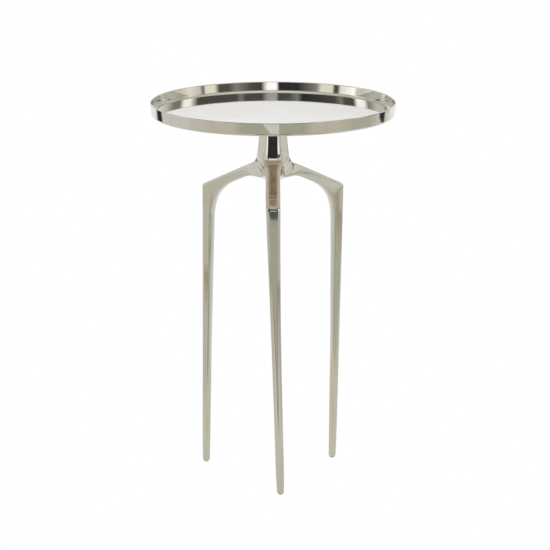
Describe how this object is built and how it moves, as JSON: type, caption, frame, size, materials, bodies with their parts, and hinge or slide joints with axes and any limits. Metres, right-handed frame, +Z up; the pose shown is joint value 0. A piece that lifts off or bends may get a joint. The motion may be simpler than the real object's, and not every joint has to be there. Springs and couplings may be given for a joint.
{
  "type": "tray table",
  "caption": "Round tray-top side table: a shallow mirror-polished dish on a cast tripod whose arched arms fall from a lobed neck into slim tapering legs.",
  "frame": {"origin": "on the floor, on the axis of the dish", "axes": "+Z up, -Y towards the front leg, +X to the right seen from the front"},
  "size_m": [0.404, 0.404, 0.635],
  "materials": {
    "polished_alloy": "cast, mirror polished, nickel tone",
    "zinc_steel": "zinc plated",
    "glide_plastic": "pale, translucent, satin"
  },
  "bodies": {
    "root": {"tray_dish": "polished_alloy", "mounting_plate": "zinc_steel", "leg_front": "polished_alloy", "leg_left": "polished_alloy", "leg_right": "polished_alloy", "leg_screw_front": "zinc_steel", "leg_screw_left": "zinc_steel", "leg_screw_right": "zinc_steel", "tie_bolt": "zinc_steel", "hub_washer": "zinc_steel", "tie_spring_washer": "zinc_steel", "cap_nut": "zinc_steel", "tray_screw_right": "zinc_steel", "tray_screw_left": "zinc_steel", "tray_screw_rear": "zinc_steel", "flat_washer_right": "zinc_steel", "flat_washer_left": "zinc_steel", "flat_washer_rear": "zinc_steel", "spring_washer_right": "zinc_steel", "spring_washer_left": "zinc_steel", "spring_washer_rear": "zinc_steel", "glide_front": "glide_plastic", "glide_left": "glide_plastic", "glide_right": "glide_plastic"}
  },
  "joints": []
}
